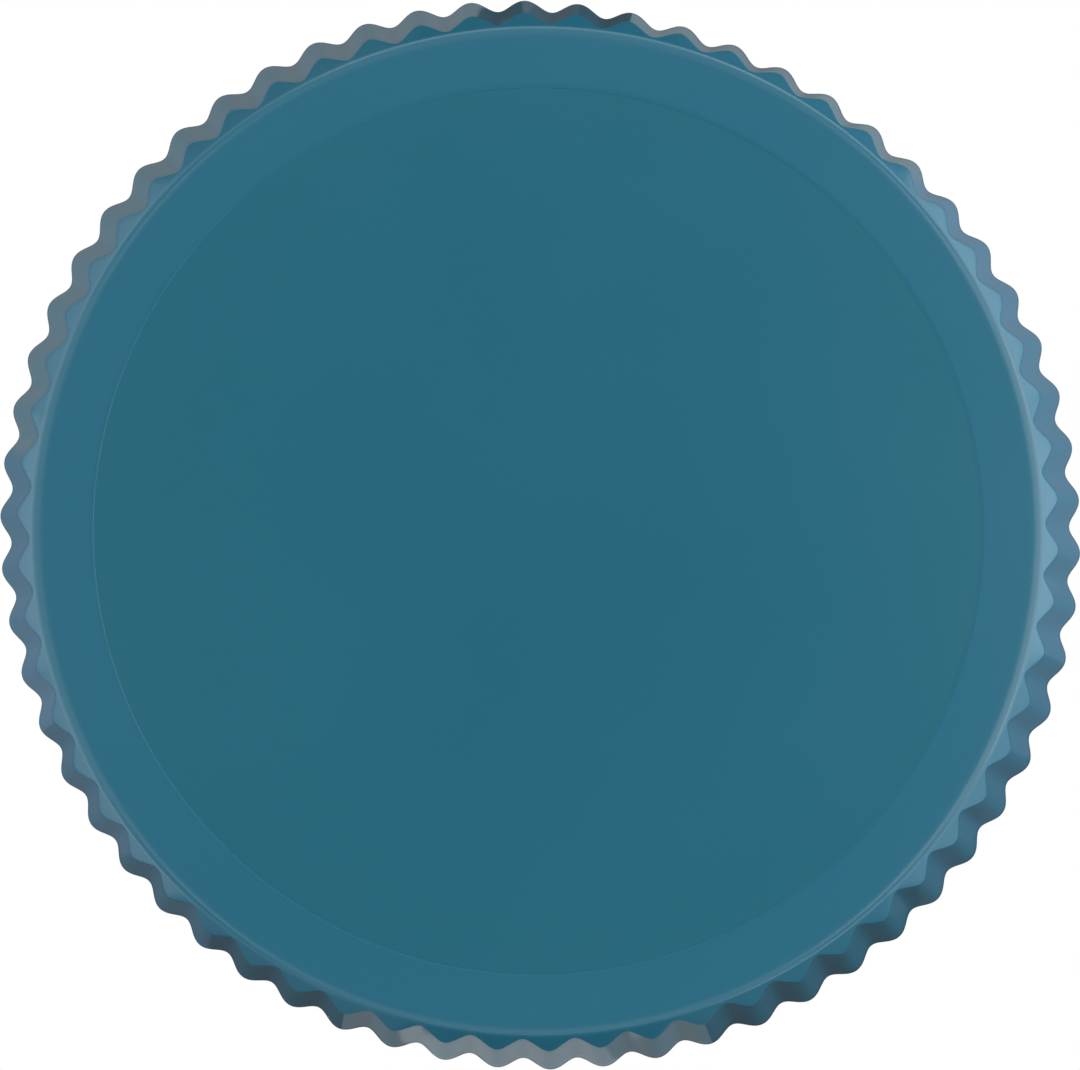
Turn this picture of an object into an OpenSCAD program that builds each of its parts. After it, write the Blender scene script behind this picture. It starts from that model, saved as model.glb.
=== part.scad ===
// Tart tin with a loose base, in millimetres: a ring of pressed sheet with a fluted, flared
// wall, a sloping shelf at its foot and a narrow inward flange, and a flat round base that
// lies loose on the flange. The tin stands mouth up on the flat underside of the flange,
// and the origin is the centre of that underside.

/* [Ring] */
// Diameter over the crests of the flutes at the rim, before the rim is pushed out of round
rim_d = 300; // [240:1:360]
// Height from the underside to the rim
height = 30; // [20:1:50]
// Thickness of the pressed sheet
sheet = 0.7; // [0.5:0.05:1]
// Width of the flat flange, from its opening to where the corner starts to curve
flange_width = 15.5; // [8:0.5:30]
// Outside radius of the corner between the flange and the sloping shelf
corner_r = 3; // [2:0.1:4]
// Slope of the shelf between the corner and the fluted wall, in degrees
shelf_angle = 45; // [35:1:50]
// How far the valleys of the flutes stand out beyond the end of the corner
shelf_step = 0.2; // [0.1:0.05:0.6]

/* [Flutes] */
// Number of flutes round the wall, an even number
flutes = 62; // [48:2:72]
// Depth of the flutes at the rim, from crest to valley
flute_depth = 3.1; // [2:0.1:4]
// Depth of the flutes where the wall would reach the level of the underside
foot_depth = 2.2; // [1:0.1:3]
// How far the crests lean outward between the level of the underside and the rim
flare = 8.65; // [6:0.05:12]
// Fullness of the crests at the rim: 0 is an even wave, more is a broader crest
crest_fullness = 0.05; // [0:0.01:0.12]
// Straightness of the flanks at the foot: 0 is an even wave, more is nearer a zigzag
foot_straightness = 0.06; // [0:0.01:0.1]
// Direction of the middle of the first crest, in degrees
first_crest = 1.9; // [0:0.1:6]

/* [Rim out of round] */
// How far the rim stands out on its long axis, and in on its short axis
rim_oval = 1.65; // [0:0.05:3]
// Direction of the long axis of the rim, in degrees
long_axis = 31; // [0:1:180]

/* [Loose base] */
// Thickness of the loose base
base_sheet = 0.8; // [0.5:0.05:1.2]
// Gap all round between the edge of the loose base and the start of the corner
base_gap = 0.5; // [0.2:0.1:2]
// Small round on the cut edges of the loose base and of the flange opening
edge_round = 0.2; // [0.1:0.01:0.2]

/* [Hidden] */

teal = [0.17, 0.40, 0.48];
light_teal = [0.19, 0.43, 0.51];

fine_steps = 12 * flutes;
plain_steps = 4 * flutes;
corner_steps = 3;
edge_steps = 3;
lap = 1;

rim_r = rim_d / 2;
foot_valley_r = rim_r - flare - foot_depth;
rim_valley_r = rim_r - flute_depth;
corner_end_z = corner_r * (1 - cos(shelf_angle));
corner_end_r = foot_valley_r
    + (rim_valley_r - foot_valley_r) * corner_end_z / height
    - shelf_step;
flat_r = corner_end_r - corner_r * sin(shelf_angle);
opening_r = flat_r - flange_width;
lap_r = opening_r + flange_width / 2;
base_r = flat_r - base_gap;
least_shelf = 0.05;

// One flute's wave: 1 on the crest, -1 in the valley
function wave(turn, fullness, straightness) =
    (1 - straightness) * cos(turn)
    + straightness * cos(3 * turn)
    + fullness * (1 - cos(2 * turn));

function flute_turn(direction) = flutes * (direction - first_crest);

// Radius of the outer side of the wall at the rim
function rim_radius(direction) =
    rim_r
    + rim_oval * cos(2 * (direction - long_axis))
    - flute_depth / 2 * (1 - wave(flute_turn(direction), crest_fullness, 0));

// Radius of the outer side of the wall where it would reach the level of the underside
function foot_radius(direction) =
    rim_r - flare
    - foot_depth / 2 * (1 - wave(flute_turn(direction), 0, foot_straightness));

// Radius of the outer side of the wall at any level, in a straight line from foot to rim
function wall_radius(direction, level) =
    foot_radius(direction)
    + (rim_radius(direction) - foot_radius(direction)) * level / height;

// Thickness of sheet measured towards the axis, where the wall waves and leans
function inward(direction, level, thickness) =
    let (
        half_step = 180 / fine_steps,
        rise = wall_radius(direction + half_step, level)
            - wall_radius(direction - half_step, level),
        run = 2 * wall_radius(direction, level) * sin(half_step)
    )
    thickness * sqrt(1 + pow(rise / run, 2) + pow(flare / height, 2));

function skin_radius(direction, level, depth) =
    wall_radius(direction, level) - inward(direction, level, depth);

// The corner's section: depth is 0 on the outside and the sheet's thickness on the inside
function corner_radius(turn, depth) = flat_r + (corner_r - depth) * sin(turn);
function corner_level(turn, depth) = corner_r - (corner_r - depth) * cos(turn);

// How far above the end of the corner the sloping shelf meets the wall
function shelf_rise(direction, depth) =
    let (
        start_r = corner_radius(shelf_angle, depth),
        start_z = corner_level(shelf_angle, depth),
        low = skin_radius(direction, start_z, depth),
        high = skin_radius(direction, height, depth),
        lean = (high - low) / (height - start_z)
    )
    max(least_shelf, (low - start_r) / (1 / tan(shelf_angle) - lean));

function point(direction, radius, level) =
    [radius * cos(direction), radius * sin(direction), level];

function plain_ring(radius, level) = [
    for (i = [0 : plain_steps - 1]) point(360 * i / plain_steps, radius, level)
];

function corner_rings(depth) = [
    for (i = [0 : corner_steps])
        let (turn = shelf_angle * i / corner_steps)
        plain_ring(corner_radius(turn, depth), corner_level(turn, depth))
];

function shelf_ring(depth) = [
    for (i = [0 : fine_steps - 1])
        let (
            direction = 360 * i / fine_steps,
            rise = shelf_rise(direction, depth)
        )
        point(
            direction,
            corner_radius(shelf_angle, depth) + rise / tan(shelf_angle),
            corner_level(shelf_angle, depth) + rise
        )
];

function rim_ring(depth) = [
    for (i = [0 : fine_steps - 1])
        let (direction = 360 * i / fine_steps)
        point(direction, skin_radius(direction, height, depth), height)
];

// Triangles between two rings of points, where one count is a multiple of the other.
// The rings are given by the number of their first point and their count.
function band(first_a, count_a, first_b, count_b) =
    count_a > count_b
    ? [for (face = band(first_b, count_b, first_a, count_a)) [face[0], face[2], face[1]]]
    : let (share = count_b / count_a, middle = floor(share / 2))
    [
        for (i = [0 : count_a - 1])
            let (
                here = first_a + i,
                next = first_a + (i + 1) % count_a,
                far = [for (k = [0 : share]) first_b + (share * i + k) % count_b]
            )
            each concat(
                [for (k = [0 : 1 : middle - 1]) [here, far[k], far[k + 1]]],
                [[here, far[middle], next]],
                [for (k = [middle : 1 : share - 1]) [next, far[k], far[k + 1]]]
            )
    ];

function joined(lists) = [for (list = lists) each list];

function first_of(rings, k) = k == 0 ? 0 : first_of(rings, k - 1) + len(rings[k - 1]);

function reversed(list) = [for (i = [len(list) - 1 : -1 : 0]) list[i]];

// Skin stretched round the section: each ring of points joins the next, and the last the first
module skin(rings) {
    count = len(rings);
    faces = [
        for (k = [0 : count - 1])
            let (next = (k + 1) % count)
            each band(
                first_of(rings, k), len(rings[k]),
                first_of(rings, next), len(rings[next])
            )
    ];
    polyhedron(points = joined(rings), faces = faces);
}

// Outer part of the flange, corner, sloping shelf and fluted wall, in one sheet
module pressed_wall() {
    skin(concat(
        [plain_ring(lap_r, 0)],
        corner_rings(0),
        [shelf_ring(0), rim_ring(0), rim_ring(sheet), shelf_ring(sheet)],
        reversed(corner_rings(sheet)),
        [plain_ring(lap_r, sheet)]
    ));
}

// Section of a cut edge of sheet, from its lower side to its upper side, slightly rounded.
// Outward is 1 on the edge of a disc and -1 on the edge of an opening.
function cut_edge(radius, thickness, outward) =
    let (
        round_points = [
            for (i = [0 : edge_steps])
                let (turn = 90 * i / edge_steps)
                [edge_round * (1 - sin(turn)), edge_round * (1 - cos(turn))]
        ]
    )
    concat(
        [for (p = round_points) [radius - outward * p[0], p[1]]],
        [for (p = reversed(round_points)) [radius - outward * p[0], thickness - p[1]]]
    );

// Inner part of the flange, lapped into the outer part
module flange() {
    outer_r = lap_r + lap;
    rotate_extrude($fn = plain_steps)
        polygon(concat(cut_edge(opening_r, sheet, -1), [[outer_r, sheet], [outer_r, 0]]));
}

module fluted_ring() {
    color(teal) {
        pressed_wall();
        flange();
    }
}

module loose_base() {
    color(light_teal)
    translate([0, 0, sheet])
    rotate_extrude($fn = plain_steps)
        polygon(concat([[0, 0]], cut_edge(base_r, base_sheet, 1), [[0, base_sheet]]));
}

fluted_ring();
loose_base();
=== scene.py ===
import math

import bmesh
import bpy
from mathutils import Matrix, Vector


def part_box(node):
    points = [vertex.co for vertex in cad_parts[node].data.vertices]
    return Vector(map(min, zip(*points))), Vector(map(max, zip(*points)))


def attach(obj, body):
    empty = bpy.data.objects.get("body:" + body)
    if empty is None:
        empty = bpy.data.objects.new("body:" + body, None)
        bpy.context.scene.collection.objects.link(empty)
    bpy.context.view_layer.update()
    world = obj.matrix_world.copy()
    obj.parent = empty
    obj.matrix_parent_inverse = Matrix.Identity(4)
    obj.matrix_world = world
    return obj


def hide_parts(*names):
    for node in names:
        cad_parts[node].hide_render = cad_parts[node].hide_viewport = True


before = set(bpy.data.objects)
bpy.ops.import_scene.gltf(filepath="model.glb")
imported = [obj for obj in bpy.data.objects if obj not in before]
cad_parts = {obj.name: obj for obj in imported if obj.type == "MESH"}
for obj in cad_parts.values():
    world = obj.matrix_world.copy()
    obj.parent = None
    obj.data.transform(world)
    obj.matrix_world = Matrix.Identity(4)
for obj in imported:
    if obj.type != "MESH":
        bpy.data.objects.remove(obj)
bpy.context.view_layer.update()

# The tin as it is packed: its box, and the sizes that are read from it
ring_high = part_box("fluted_ring")[1]
plate_low, plate_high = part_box("loose_base")

MM = 0.001
height = ring_high.z
sheet = plate_low.z
plate_sheet = plate_high.z - plate_low.z
plate_radius = (plate_high.x - plate_low.x) / 2

# Sizes of the ring that are the same in the part's own source
rim_radius = 150 * MM
flute_count = 62
flute_depth = 3.1 * MM
crest_fullness = 0.05
first_crest = math.radians(1.9)
rim_oval = 1.65 * MM
long_axis = math.radians(31)
flange_width = 15.5 * MM
corner_radius = 3 * MM
shelf_angle = math.radians(45)
plate_gap = 0.5 * MM

# Sizes of the flutes' foot, read more finely than in the source
flare = 8.35 * MM
foot_depth = 2.6 * MM
foot_straightness = 0.035

# Faint lobes of the rim beside its oval: how many, how far out, direction of the first in degrees
rim_waviness = {3: (0.53 * MM, -4.1), 4: (0.33 * MM, -14.4), 5: (0.13 * MM, -24)}

# Uneven spacing of the flutes, in degrees: a mean, and a cosine and a sine part for each lobe count
flute_drift_mean = -0.13
flute_drift = {1: (0.16, -0.03), 2: (0.28, -0.13), 3: (-0.02, -0.07)}

# The corner starts gently, this far inside the edge of the flat part
corner_lead = 2.75 * MM
corner_softness = 3.4

# Bend between the shelf and the wall: its reach, and the most that it takes of a narrow shelf
bend_reach = 0.22 * MM
bend_share = 0.55

# Middle of the loose base, pressed down into the opening in the flange
base_drop = 0.62 * MM
press_gap = 0.02 * MM

# Rounds on the cut edges, and where an edge counts as cut
edge_round = 0.08 * MM
cut_reach = 0.1 * MM
cut_angle = math.radians(60)

# Sizes worked out from those above
flat_radius = plate_radius + plate_gap
opening_radius = flat_radius - flange_width
pressed_radius = opening_radius - press_gap
corner_start_radius = flat_radius - corner_lead
corner_end_radius = flat_radius + corner_radius * math.sin(shelf_angle)
corner_end_level = corner_radius * (1 - math.cos(shelf_angle))

# Fineness of the meshes
steps_per_flute = 20
ring_steps = flute_count * steps_per_flute
plate_steps = 256
corner_line_steps = 120
corner_steps = 12
bend_steps = 4
wall_steps = 6
edge_steps = 2
card_steps = 12
flange_shares = (0, 0.1, 0.5, 0.9)
plate_shares = (0, 0.25, 0.5, 0.75, 0.95)
merge_distance = 0.001 * MM
sharp_angle = math.radians(50)

# Coating: its colours, its gloss, and how much its shade, roughness and surface vary
# The ring's colour is painted lighter than the base's, though both are the same coating: painted
# light for the extra side light that the flange catches
ring_colour_painted_lighter = (0.0138, 0.117, 0.177)
base_colour = (0.0109, 0.1115, 0.160)
refraction = 1.5
roughness = 0.24
clear_coat = 0.25
clear_coat_roughness = 0.12
shade_change = 0.04
roughness_change = 0.03
peel_depth = 0.02

# Noises in the coating: scale and detail
cloud_noise = (14, 3)
speck_noise = (2400, 1)
peel_noise = (650, 2)
speck_share = 0.3

# Camera: pixels in the photograph's own frame
image_width = 1080
image_height = 1070
sensor_width = 36
camera_distance = 1.5
pixels_per_metre = 3652
base_centre_px = (536.7, 529.9)
camera_aside = (19 * MM, 51.4 * MM)
nearest_seen = 0.1
farthest_seen = 50

# Lights
WHITE = (1, 1, 1, 1)
plain_light = (1, 1, 1)
cool_light = (0.86, 1, 1.14)
world_fill = 0.07

# Tiers of soft lamps: elevation, width, height and tint, then each azimuth's brightness
lamp_distance = 1.4
lamp_tiers = {
    "level": (2, 0.72, 0.4, cool_light, {
        330: 2.4, 0: 2.8, 30: 1.3, 60: 0.25,
        120: 0.3, 150: 1.4, 180: 1.9, 210: 1.2, 240: 0.25, 300: 0.2,
    }),
    "low": (-16, 0.72, 0.4, cool_light, {
        330: 3.2, 0: 3.6, 30: 2.1, 60: 0.2,
        120: 0.6, 150: 2.5, 180: 2.7, 210: 2.1, 240: 0.45,
    }),
    "slanting": (-36, 1, 0.5, plain_light, {
        0: 2.95, 45: 1.6, 135: 0.6, 180: 1.55, 225: 0.95, 270: 1.8, 315: 2.4,
    }),
    "steep": (-60, 1, 0.8, plain_light, {0: 1.9, 90: 0.7, 180: 0.9, 270: 0.55}),
}

# The lamp straight above the tin
overhead_distance = 2.2
overhead_width = 1.1
overhead_brightness = 13

# Floor just under the tin
floor_level = -0.1 * MM
floor_reach = 6
floor_tone = 0.4
floor_glow = 0.6
floor_roughness = 0.9

# Ring of cards above the rim, and the steepness past which a ray finds them dark
card_level = 37 * MM
card_inner_radius = 138 * MM
card_outer_radius = 260 * MM
card_dark_above = 0.975

# Cards in that ring: start and end in degrees, brightness and tint
plain_card = (0.92, 1, 1.03)
cool_card = (0.73, 1, 1.38)
card_arcs = [
    (-16, 4, 0.25, cool_card),
    (4, 14, 0.21, cool_card),
    (14, 24, 0.14, cool_card),
    (24, 34, 0.08, cool_card),
    (34, 45, 0.05, cool_card),
    (45, 71, 0.01, plain_card),
    (71, 81, 0.19, plain_card),
    (81, 104, 0.38, plain_card),
    (104, 111.5, 0.17, plain_card),
    (111.5, 128, 0.015, cool_card),
    (128, 143, 0.07, cool_card),
    (143, 158, 0.12, cool_card),
    (158, 190, 0.195, cool_card),
    (190, 264.5, 0.23, plain_card),
    (264.5, 268, 0, plain_card),
    (268, 270, 0.1, plain_card),
    (270, 274.6, 0.04, plain_card),
    (274.6, 280.2, 0, plain_card),
    (280.2, 300, 0.25, plain_card),
    (300, 318, 0.3, plain_card),
    (318, 344, 0.27, cool_card),
]


def wave(turn, fullness, straightness):
    """One flute's wave: 1 on the crest and -1 in the valley."""
    return (
        (1 - straightness) * math.cos(turn)
        + straightness * math.cos(3 * turn)
        + fullness * (1 - math.cos(2 * turn))
    )


def flute_turn(direction):
    """The turn of the flutes' wave at a direction, with their uneven spacing."""
    drift = flute_drift_mean
    for lobes, (along, across) in flute_drift.items():
        drift += along * math.cos(lobes * direction) + across * math.sin(lobes * direction)
    return flute_count * (direction - first_crest - math.radians(drift))


def rim_at(direction):
    """The wall's radius at the rim."""
    turn = flute_turn(direction)
    uneven = rim_oval * math.cos(2 * (direction - long_axis))
    for lobes, (reach, first_lobe) in rim_waviness.items():
        uneven += reach * math.cos(lobes * (direction - math.radians(first_lobe)))
    return rim_radius + uneven - flute_depth / 2 * (1 - wave(turn, crest_fullness, 0))


def foot_at(direction):
    """The wall's radius where it would reach the level of the underside."""
    turn = flute_turn(direction)
    return rim_radius - flare - foot_depth / 2 * (1 - wave(turn, 0, foot_straightness))


def wall_lean(direction):
    """How far the wall runs outward for each metre of its height."""
    return (rim_at(direction) - foot_at(direction)) / height


def shelf_rise(direction):
    """How far above the end of the corner the sloping shelf meets the wall."""
    low = foot_at(direction) + wall_lean(direction) * corner_end_level
    return (low - corner_end_radius) / (1 / math.tan(shelf_angle) - wall_lean(direction))


# Stations along the ring's section: each gives a radius and a level for a direction
def flange_station(share):
    """A place on the flange, as a share of the way from the opening to the corner."""
    radius = opening_radius + (corner_start_radius - opening_radius) * share
    return lambda direction: (radius, 0)


def corner_line():
    """The corner's section, from the flat part to the slope of the shelf."""
    width = corner_end_radius - corner_start_radius
    points = [(0, 0)]
    for i in range(corner_line_steps):
        turn = shelf_angle * ((i + 0.5) / corner_line_steps) ** corner_softness
        radius, level = points[-1]
        points.append((radius + math.cos(turn), level + math.sin(turn)))
    full_radius, full_level = points[-1]
    return [
        (corner_start_radius + radius / full_radius * width, level / full_level * corner_end_level)
        for radius, level in points
    ]


def corner_station(share):
    """A place on the corner, as a share of its length."""
    radius, level = corner_points[round(share * corner_line_steps)]
    return lambda direction: (radius, level)


def bend_station(share):
    """A place on the small bend where the shelf turns up into the wall."""

    def place(direction):
        rise = shelf_rise(direction)
        lean = wall_lean(direction)
        meeting = Vector((corner_end_radius + rise / math.tan(shelf_angle), corner_end_level + rise))
        along_shelf = Vector((math.cos(shelf_angle), math.sin(shelf_angle)))
        along_wall = Vector((lean, 1)).normalized()
        reach = min(bend_reach, bend_share * rise / math.sin(shelf_angle))
        start = meeting - along_shelf * reach
        end = meeting + along_wall * reach
        rest = 1 - share
        point = start * rest * rest + meeting * 2 * share * rest + end * share * share
        return point.x, point.y

    return place


def wall_station(share):
    """A place on the wall, as a share of the way from the bend to the rim."""
    bend_end = bend_station(1)

    def place(direction):
        low_radius, low_level = bend_end(direction)
        return (
            low_radius + (rim_at(direction) - low_radius) * share,
            low_level + (height - low_level) * share,
        )

    return place


corner_points = corner_line()
stations = (
    [flange_station(share) for share in flange_shares]
    + [corner_station(i / corner_steps) for i in range(corner_steps + 1)]
    + [bend_station(i / bend_steps) for i in range(bend_steps + 1)]
    + [wall_station((i + 1) / wall_steps) for i in range(wall_steps)]
)


# Pieces
def placed(name, data):
    """An object in the scene, from a mesh, a lamp or a camera."""
    made = bpy.data.objects.new(name, data)
    bpy.context.scene.collection.objects.link(made)
    return made


def mesh_object(bm, name, material):
    """An object from a bmesh, with its one material."""
    mesh = bpy.data.meshes.new(name)
    bm.to_mesh(mesh)
    bm.free()
    mesh.materials.append(material)
    return placed(name, mesh)


def finished_piece(bm, name, material):
    """A smooth-shaded piece from a bmesh, with its hard corners kept sharp."""
    for face in bm.faces:
        face.smooth = True
    for edge in bm.edges:
        edge.smooth = not (edge.is_manifold and edge.calc_face_angle() > sharp_angle)
    return mesh_object(bm, name, material)


def spun_section(points, steps):
    """Spins a line of (radius, level) points into a full turn, and keeps each point's number."""
    bm = bmesh.new()
    number = bm.verts.layers.int.new("station")
    line = []
    for i, (radius, level) in enumerate(points):
        vert = bm.verts.new((radius, 0, level))
        vert[number] = i
        line.append(vert)
    edges = [bm.edges.new(pair) for pair in zip(line, line[1:])]
    bmesh.ops.spin(
        bm,
        geom=line + edges,
        cent=(0, 0, 0),
        axis=(0, 0, 1),
        angle=2 * math.pi,
        steps=steps,
        use_merge=True,
    )
    bmesh.ops.remove_doubles(bm, verts=bm.verts, dist=merge_distance)
    return bm


def on_cut_edge(vert):
    """Whether a point of the ring lies at the rim's cut or at the opening's."""
    radius = math.hypot(vert.co.x, vert.co.y)
    return vert.co.z > height - sheet or radius < opening_radius + cut_reach


def fluted_ring(material):
    """The pressed ring: its outer skin is spun, moved to the flutes and given its thickness."""
    bm = spun_section([place(first_crest) for place in stations], ring_steps)
    number = bm.verts.layers.int["station"]
    for vert in bm.verts:
        direction = math.atan2(vert.co.y, vert.co.x)
        radius, level = stations[vert[number]](direction)
        vert.co = (radius * math.cos(direction), radius * math.sin(direction), level)
    bmesh.ops.recalc_face_normals(bm, faces=bm.faces)
    facing = sum(face.normal.z * face.calc_area() for face in bm.faces)
    if facing > 0:
        bmesh.ops.reverse_faces(bm, faces=bm.faces)
    bmesh.ops.solidify(bm, geom=bm.faces[:], thickness=sheet)
    cut = [
        edge
        for edge in bm.edges
        if edge.is_manifold
        and edge.calc_face_angle() > cut_angle
        and all(on_cut_edge(vert) for vert in edge.verts)
    ]
    bmesh.ops.bevel(
        bm,
        geom=cut,
        offset=edge_round,
        offset_type="OFFSET",
        segments=edge_steps,
        profile=0.5,
        affect="EDGES",
        material=-1,
    )
    return finished_piece(bm, "fluted_ring_pressed", material)


def loose_plate(material):
    """The loose base: a round sheet with rounded cut edges and a slightly pressed middle."""
    rounds = []
    for i in range(edge_steps + 1):
        turn = math.pi / 2 * i / edge_steps
        rounds.append((edge_round * (1 - math.sin(turn)), edge_round * (1 - math.cos(turn))))
    lower = [(plate_radius - inward, sheet + up) for inward, up in rounds]
    upper = [(plate_radius - inward, sheet + plate_sheet - up) for inward, up in reversed(rounds)]
    points = (
        [(pressed_radius * share, sheet - base_drop) for share in (*plate_shares, 1)]
        + [(pressed_radius, sheet), (plate_radius * plate_shares[-1], sheet)]
        + lower
        + upper
        + [(plate_radius * share, sheet + plate_sheet) for share in reversed(plate_shares)]
    )
    bm = spun_section(points, plate_steps)
    bmesh.ops.recalc_face_normals(bm, faces=bm.faces)
    return finished_piece(bm, "loose_base_plate", material)


# Materials
def noise(tree, coordinates, scale, detail):
    """The value of a noise at the given coordinates."""
    node = tree.nodes.new("ShaderNodeTexNoise")
    node.inputs["Scale"].default_value = scale
    node.inputs["Detail"].default_value = detail
    tree.links.new(coordinates, node.inputs["Vector"])
    return node.outputs["Fac"]


def maths(tree, operation, *values):
    """The result of a maths node, whose values are numbers or the outputs of other nodes."""
    node = tree.nodes.new("ShaderNodeMath")
    node.operation = operation
    for value, entry in zip(values, node.inputs):
        if isinstance(value, bpy.types.NodeSocket):
            tree.links.new(value, entry)
        else:
            entry.default_value = value
    return node.outputs[0]


def front_side(tree):
    """1 where a face is seen from its front, and 0 where it is seen from its back."""
    side = tree.nodes.new("ShaderNodeNewGeometry")
    return maths(tree, "SUBTRACT", 1, side.outputs["Backfacing"])


def coating_group():
    """Fine unevenness of a sprayed coating: a colour, a roughness and a bumped normal."""
    group = bpy.data.node_groups.new("sprayed_coating", "ShaderNodeTree")
    for name, kind, direction in (
        ("Colour", "Color", "INPUT"),
        ("Shade change", "Float", "INPUT"),
        ("Roughness", "Float", "INPUT"),
        ("Peel depth", "Float", "INPUT"),
        ("Colour", "Color", "OUTPUT"),
        ("Roughness", "Float", "OUTPUT"),
        ("Normal", "Vector", "OUTPUT"),
    ):
        group.interface.new_socket(name=name, in_out=direction, socket_type="NodeSocket" + kind)
    link = group.links.new
    given = group.nodes.new("NodeGroupInput")
    result = group.nodes.new("NodeGroupOutput")
    coordinates = group.nodes.new("ShaderNodeTexCoord").outputs["Object"]
    cloud = noise(group, coordinates, *cloud_noise)
    speck = noise(group, coordinates, *speck_noise)
    peel = noise(group, coordinates, *peel_noise)

    blend = maths(group, "MULTIPLY_ADD", speck, speck_share, cloud)
    centred = maths(group, "SUBTRACT", blend, (1 + speck_share) / 2)
    scaled = maths(group, "MULTIPLY_ADD", centred, given.outputs["Shade change"], 1)
    shade = group.nodes.new("ShaderNodeVectorMath")
    shade.operation = "SCALE"
    link(given.outputs["Colour"], shade.inputs[0])
    link(scaled, shade.inputs["Scale"])
    link(shade.outputs[0], result.inputs["Colour"])

    matt = group.nodes.new("ShaderNodeMapRange")
    matt.inputs["To Min"].default_value = -roughness_change
    matt.inputs["To Max"].default_value = roughness_change
    link(cloud, matt.inputs["Value"])
    rough = maths(group, "ADD", given.outputs["Roughness"], matt.outputs["Result"])
    link(rough, result.inputs["Roughness"])

    bump = group.nodes.new("ShaderNodeBump")
    bump.inputs["Distance"].default_value = MM
    link(given.outputs["Peel depth"], bump.inputs["Strength"])
    link(peel, bump.inputs["Height"])
    link(bump.outputs["Normal"], result.inputs["Normal"])
    return group


def coated_sheet(name, group, colour):
    """The glossy coated metal of one piece."""
    material = bpy.data.materials.new(name)
    material.use_nodes = True
    nodes, link = material.node_tree.nodes, material.node_tree.links.new
    shader = nodes["Principled BSDF"]
    shader.inputs["IOR"].default_value = refraction
    shader.inputs["Coat Weight"].default_value = clear_coat
    shader.inputs["Coat Roughness"].default_value = clear_coat_roughness
    effect = nodes.new("ShaderNodeGroup")
    effect.node_tree = group
    effect.inputs["Colour"].default_value = (*colour, 1)
    effect.inputs["Shade change"].default_value = shade_change
    effect.inputs["Roughness"].default_value = roughness
    effect.inputs["Peel depth"].default_value = peel_depth
    link(effect.outputs["Colour"], shader.inputs["Base Color"])
    link(effect.outputs["Roughness"], shader.inputs["Roughness"])
    link(effect.outputs["Normal"], shader.inputs["Normal"])
    return material


def floor_material():
    """Pale and slightly glowing for a camera above it, and clear for all else."""
    material = bpy.data.materials.new("floor_white")
    material.use_nodes = True
    tree = material.node_tree
    link = tree.links.new
    shader = tree.nodes["Principled BSDF"]
    shader.inputs["Base Color"].default_value = (floor_tone, floor_tone, floor_tone, 1)
    shader.inputs["Roughness"].default_value = floor_roughness
    shader.inputs["Specular IOR Level"].default_value = 0
    shader.inputs["Emission Color"].default_value = WHITE
    shader.inputs["Emission Strength"].default_value = floor_glow
    clear = tree.nodes.new("ShaderNodeBsdfTransparent")
    ray = tree.nodes.new("ShaderNodeLightPath")
    shown = maths(tree, "MULTIPLY", ray.outputs["Is Camera Ray"], front_side(tree))
    mix = tree.nodes.new("ShaderNodeMixShader")
    link(shown, mix.inputs[0])
    link(clear.outputs[0], mix.inputs[1])
    link(shader.outputs[0], mix.inputs[2])
    link(mix.outputs[0], tree.nodes["Material Output"].inputs["Surface"])
    return material


def card_material():
    """Light from the front of a card for rays that aren't steep, added to what lies behind it."""
    material = bpy.data.materials.new("card_grey")
    material.use_nodes = True
    tree = material.node_tree
    link = tree.links.new
    tree.nodes.clear()
    painted = tree.nodes.new("ShaderNodeAttribute")
    painted.attribute_name = "card_tone"
    sight = tree.nodes.new("ShaderNodeNewGeometry")
    parts = tree.nodes.new("ShaderNodeSeparateXYZ")
    link(sight.outputs["Incoming"], parts.inputs[0])
    slanting = maths(tree, "GREATER_THAN", parts.outputs["Z"], -card_dark_above)
    glow = tree.nodes.new("ShaderNodeEmission")
    link(painted.outputs["Color"], glow.inputs["Color"])
    link(maths(tree, "MULTIPLY", front_side(tree), slanting), glow.inputs["Strength"])
    clear = tree.nodes.new("ShaderNodeBsdfTransparent")
    both = tree.nodes.new("ShaderNodeAddShader")
    output = tree.nodes.new("ShaderNodeOutputMaterial")
    link(glow.outputs[0], both.inputs[0])
    link(clear.outputs[0], both.inputs[1])
    link(both.outputs[0], output.inputs["Surface"])
    return material


# Studio
def one_way_floor():
    """A pale floor under the tin. It is seen from above, and nothing below it is hidden by it."""
    bm = bmesh.new()
    bmesh.ops.create_grid(bm, x_segments=1, y_segments=1, size=floor_reach)
    bmesh.ops.translate(bm, verts=bm.verts, vec=(0, 0, floor_level))
    mesh_object(bm, "floor", floor_material())


def near_cards():
    """A flat ring of grey cards just above the rim, which only gloss sees."""
    bm = bmesh.new()
    tone = bm.loops.layers.float_color.new("card_tone")
    for start, end, brightness, tint in card_arcs:
        first = math.radians(start)
        line = [
            bm.verts.new((radius * math.cos(first), radius * math.sin(first), card_level))
            for radius in (card_inner_radius, card_outer_radius)
        ]
        earlier = set(bm.faces)
        bmesh.ops.spin(
            bm,
            geom=line + [bm.edges.new(line)],
            cent=(0, 0, 0),
            axis=(0, 0, 1),
            angle=math.radians(end - start),
            steps=card_steps,
        )
        for face in set(bm.faces) - earlier:
            for loop in face.loops:
                loop[tone] = (*(brightness * part for part in tint), 1)
    bm.normal_update()
    upward = [face for face in bm.faces if face.normal.z > 0]
    bmesh.ops.reverse_faces(bm, faces=upward)
    cards = mesh_object(bm, "near_cards", card_material())
    cards.visible_camera = False
    cards.visible_diffuse = False
    cards.visible_transmission = False
    cards.visible_shadow = False


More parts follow.
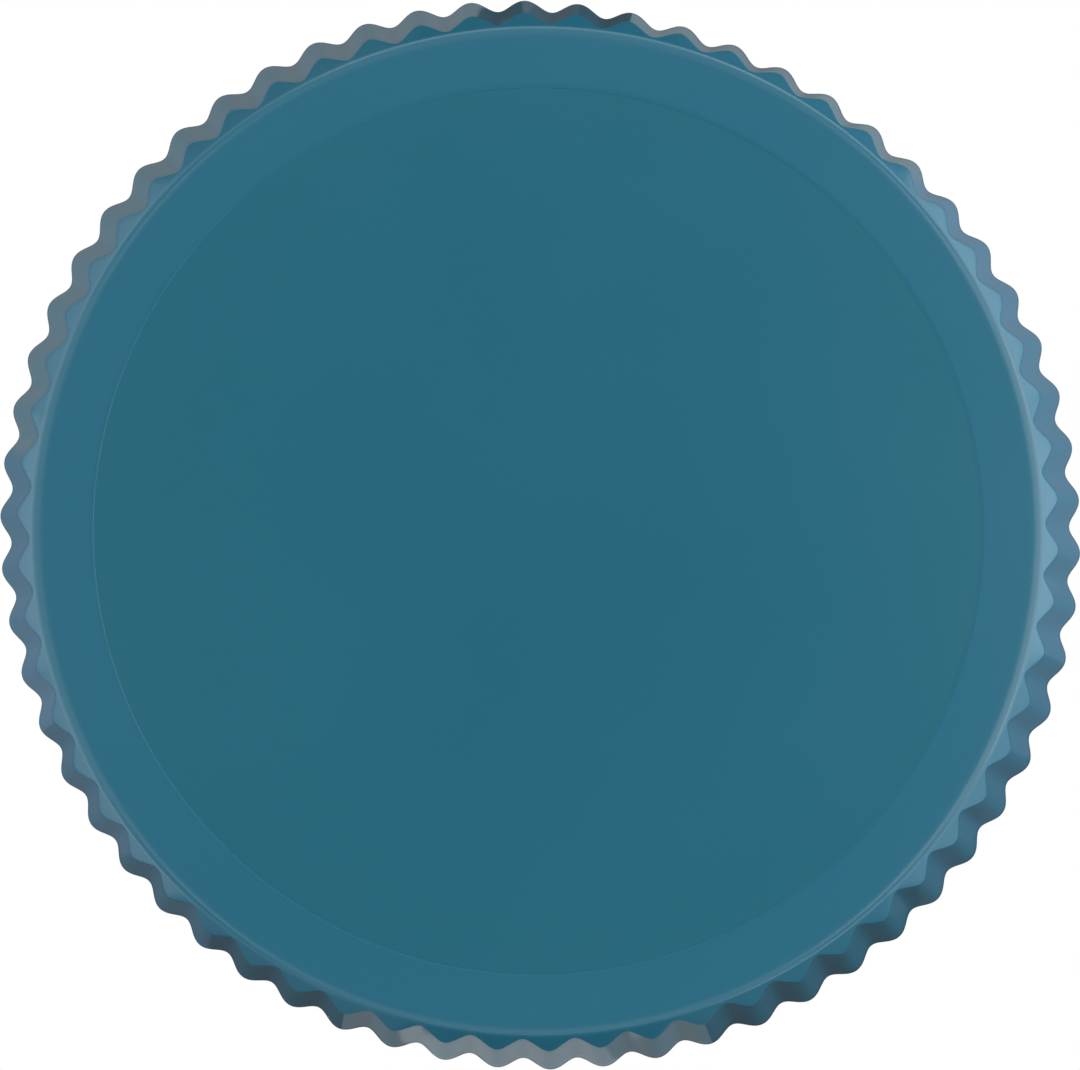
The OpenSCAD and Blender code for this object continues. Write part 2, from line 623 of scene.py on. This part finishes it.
def studio_world():
    """White for the camera, and a dim even light for everything else."""
    world = bpy.data.worlds.new("studio")
    bpy.context.scene.world = world
    world.use_nodes = True
    nodes, link = world.node_tree.nodes, world.node_tree.links.new
    nodes.clear()
    ray = nodes.new("ShaderNodeLightPath")
    mix = nodes.new("ShaderNodeMixShader")
    link(ray.outputs["Is Camera Ray"], mix.inputs[0])
    for entry, strength in ((1, world_fill), (2, 1)):
        light = nodes.new("ShaderNodeBackground")
        light.inputs["Color"].default_value = WHITE
        light.inputs["Strength"].default_value = strength
        link(light.outputs[0], mix.inputs[entry])
    output = nodes.new("ShaderNodeOutputWorld")
    link(mix.outputs[0], output.inputs["Surface"])


def softbox(name, azimuth, elevation, distance, width, tall, brightness, tint):
    """A rectangular soft lamp that faces the tin, with its brightness per unit of its face."""
    lamp = bpy.data.lights.new(name, "AREA")
    lamp.shape = "RECTANGLE"
    lamp.size = width
    lamp.size_y = tall
    lamp.energy = brightness * width * tall * math.pi
    lamp.color = tint
    holder = placed(name, lamp)
    round_tin = math.radians(azimuth)
    above = math.radians(elevation)
    away = Vector((
        math.cos(round_tin) * math.cos(above),
        math.sin(round_tin) * math.cos(above),
        math.sin(above),
    ))
    holder.location = away * distance
    holder.rotation_mode = "QUATERNION"
    holder.rotation_quaternion = away.to_track_quat("Z", "Y")
    holder.visible_camera = False
    return holder


def studio_lamps():
    """The tiers of lamps round the tin, and one above it that gives no reflection."""
    for tier, (elevation, width, tall, tint, lamps) in lamp_tiers.items():
        for azimuth, brightness in lamps.items():
            name = f"{tier}_{azimuth}"
            softbox(name, azimuth, elevation, lamp_distance, width, tall, brightness, tint)
    overhead = softbox(
        "overhead",
        azimuth=0,
        elevation=90,
        distance=overhead_distance,
        width=overhead_width,
        tall=overhead_width,
        brightness=overhead_brightness,
        tint=plain_light,
    )
    overhead.visible_glossy = False


def photo_camera():
    """The photograph's view: from below, a little off the axis, with the picture's down along +Y."""
    camera = bpy.data.cameras.new("photo_camera")
    holder = placed("photo_camera", camera)
    camera.sensor_fit = "HORIZONTAL"
    camera.sensor_width = sensor_width
    camera.lens = pixels_per_metre * camera_distance * sensor_width / image_width
    camera.clip_start = nearest_seen
    camera.clip_end = farthest_seen
    place = Vector((*camera_aside, -camera_distance))
    middle = Vector((image_width / 2, image_height / 2))
    shift = (middle - Vector(base_centre_px)) / pixels_per_metre
    target = Vector((shift.x, shift.y, 0))
    back = (place - target).normalized()
    right = Vector((1, 0, 0))
    right = (right - back * right.dot(back)).normalized()
    up = back.cross(right)
    holder.matrix_world = Matrix.Translation(place) @ Matrix((right, up, back)).transposed().to_4x4()
    bpy.context.scene.camera = holder


coating = coating_group()
# The ring's coating carries painted light: its colour is lighter than the base's same coating
ring_coating = coated_sheet("ring_coating", coating, ring_colour_painted_lighter)
base_coating = coated_sheet("base_coating", coating, base_colour)

ring = fluted_ring(ring_coating)
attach(ring, "root")
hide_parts("fluted_ring")

plate = loose_plate(base_coating)
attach(plate, "root")
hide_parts("loose_base")

one_way_floor()
near_cards()
studio_world()
studio_lamps()
photo_camera()
bpy.context.scene.view_settings.view_transform = "Standard"
